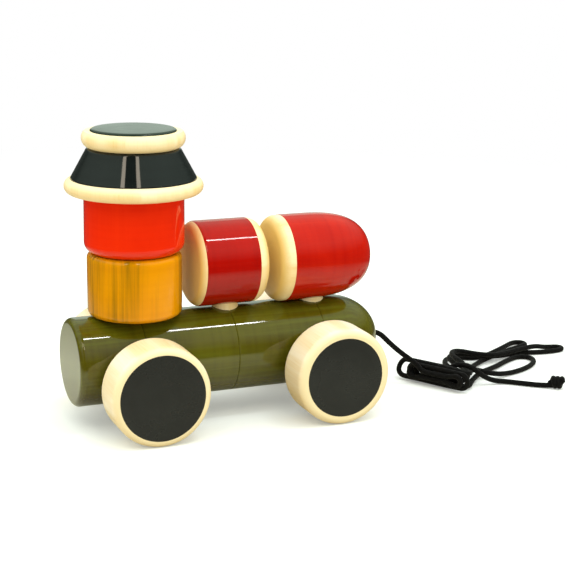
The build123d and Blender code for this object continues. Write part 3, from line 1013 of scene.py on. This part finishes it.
# %% Bullet-nosed barrel
foot, long, radius = lying("boiler_nose_barrel")
straight, straight_lead, back_rounding, bare_back = 18.2, 1, 5.2, 6.8
fullness, nose_steps = 2.8, 30
past_the_nose = 5
nose_outline = [(0, 0), (0, radius - back_flat), (0, radius, back_rounding),
                (straight - straight_lead, radius)]
for step in range(nose_steps):
    sweep = quarter * step / nose_steps
    nose_outline.append((straight + (long - straight) * sin(sweep) ** (2 / fullness),
                         radius * cos(sweep) ** (2 / fullness)))
nose_outline.append((long, 0))
nose_barrel = turned_piece("boiler_nose_barrel", nose_outline, foot, (1, 0, 0), "nose_barrel",
                           [level_wood, red], steps=barrel_steps,
                           band=(bare_back, long + past_the_nose), name="turned_nose_barrel")
drill(nose_barrel, "boiler_nose_barrel", "nose_barrel_peg")

# %% [markdown]
# ## Floor, backdrop and light
# Toys are shown on white card. The floor has three answers. To the camera it is white card that keeps the
# soft contact shadows and fades to pure white far away. To soft light it is a warm bounce, and a
# reflection sees a pale table that ends in the dark. The studio has a white ceiling and warm sides.
# Reflections see a plainer sky, pale overhead, with a dark gap towards the camera and a pale card behind
# the toy. Three small lamps add highlights: a narrow strip straight above, and two upright ones left and
# right of the gap, which make the two streaks on the cone.

# %% Floor
def shaded(tree, kind, color, **values):
    """The output of a simple shader of one colour."""
    return add(tree, kind, {"Color": color, **values}).outputs[0]


def either(tree, share, first, second):
    """One of two shaders, or a mix of both by a share."""
    return add(tree, "MixShader", {0: share, 1: first, 2: second}).outputs[0]


def both(tree, first, second):
    """The sum of two shaders."""
    return add(tree, "AddShader", {0: first, 1: second}).outputs[0]


bm = bmesh.new()
bmesh.ops.create_grid(bm, x_segments=12, y_segments=12, size=4.0)
card_material, tree = new_material("white_card")
floor = mesh_object(bm, "white_floor", [card_material])
rays = add(tree, "LightPath").outputs
away = add(tree, "VectorMath", {0: add(tree, "TexCoord").outputs["Object"]},
           operation="LENGTH").outputs["Value"]
far = add(tree, "MapRange", {"Value": away, "From Min": 0.22, "From Max": 0.9},
          interpolation_type="SMOOTHSTEP").outputs[0]
seen_card = both(tree, shaded(tree, "BsdfDiffuse", (0.73, 0.8, 0.78, 1)),
                 shaded(tree, "Emission", (1, 1, 0.97, 1), Strength=0.24))
seen = either(tree, far, seen_card, shaded(tree, "Emission", (1, 1, 1, 1), Strength=1.0))
table = blend(tree, ramp(tree, away, 0.16, 0.34), (0.66, 0.7, 0.57, 1), (0.05, 0.05, 0.05, 1))
bounce = shaded(tree, "BsdfDiffuse", (0.5, 0.42, 0.28, 1))
unseen = either(tree, rays["Is Diffuse Ray"], shaded(tree, "BsdfDiffuse", table), bounce)
add(tree, "OutputMaterial", {0: either(tree, rays["Is Camera Ray"], unseen, seen)})
floor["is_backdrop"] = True
print("floor:", [round(d, 1) for d in floor.dimensions], "m")

# %% World
world = bpy.data.worlds.new("white_studio")
bpy.context.scene.world = world
world.use_nodes = True
tree = world.node_tree
tree.nodes.clear()
rays = add(tree, "LightPath").outputs
sky = add(tree, "TexCoord").outputs["Generated"]


def going(way):
    """How far the ray's direction goes one way, from -1 to 1."""
    return add(tree, "VectorMath", {0: sky, 1: way}, operation="DOT_PRODUCT").outputs["Value"]


backwards = going((sin(look_right), cos(look_right), 0))
upwards = going((0, 0, 1))
sideways = calc(tree, "ABSOLUTE", going(tuple(level)))
walls = calc(tree, "ADD", ramp(tree, backwards, 0.3, -0.8, 0.4, 0.8),
             ramp(tree, sideways, 0.3, 0.95, high=1.05))
ceiling = ramp(tree, upwards, 0.35, 1.0, high=1.25)
studio = both(tree, shaded(tree, "Background", (1, 0.97, 0.86, 1), Strength=walls),
              shaded(tree, "Background", (1, 1, 1, 1), Strength=ceiling))

card_right, card_up = radians(19), radians(10)
card_way = (sin(card_right) * cos(card_up), cos(card_right) * cos(card_up), sin(card_up))
card_behind = ramp(tree, going(card_way), 0.955, 0.985, high=0.8)
beside_gap = ramp(tree, calc(tree, "ABSOLUTE", going((0.91, -0.415, 0))), 0.15, 0.2)
open_sky = calc(tree, "MAXIMUM", beside_gap, ramp(tree, backwards, -0.2, 0.0))
gapped_sky = calc(tree, "MULTIPLY", ramp(tree, upwards, 0.2, 0.6, 0.08, 0.72), open_sky)
mirrored = shaded(tree, "Background", (0.84, 1, 0.86, 1),
                  Strength=calc(tree, "ADD", gapped_sky, card_behind))
mirror_ray = calc(tree, "ADD", rays["Is Glossy Ray"], rays["Is Transmission Ray"], clamp=True)
white = shaded(tree, "Background", (1, 1, 1, 1), Strength=1.0)
unseen = either(tree, mirror_ray, studio, mirrored)
add(tree, "OutputWorld", {0: either(tree, rays["Is Camera Ray"], unseen, white)})
print("world:", len(tree.nodes), "nodes")

# %% Lamps
def lamp(name, place, aim, width, height, watts, color=(1, 1, 1)):
    """A soft rectangular lamp that faces a point."""
    data = bpy.data.lights.new(name, "AREA")
    data.shape = "RECTANGLE"
    data.size = width
    data.size_y = height
    data.energy = watts
    data.color = color
    light = bpy.data.objects.new(name, data)
    light.location = place
    light.rotation_euler = (Vector(aim) - Vector(place)).to_track_quat("-Z", "Y").to_euler()
    bpy.context.scene.collection.objects.link(light)


lamp("strip_overhead", (0.28, -0.30, 1.1), (0.28, -0.30, 0), 0.32, 0.05, 2.0)
for name, place in (("left_upright", (-0.50, -0.50, 0.92)), ("right_upright", (-0.13, -0.67, 0.92))):
    lamp(name, place, (-0.05, 0, 0.137), 0.11, 0.32, 0.8, (1.0, 0.86, 0.68))
bpy.context.scene.view_settings.view_transform = "Standard"

# %% [markdown]
# ## Size
# The box of the dressed model is printed in millimetres.

# %% Sizes and finish
low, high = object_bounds()
print("size:", [round((b - a) * 1000, 1) for a, b in zip(low, high)], "mm")
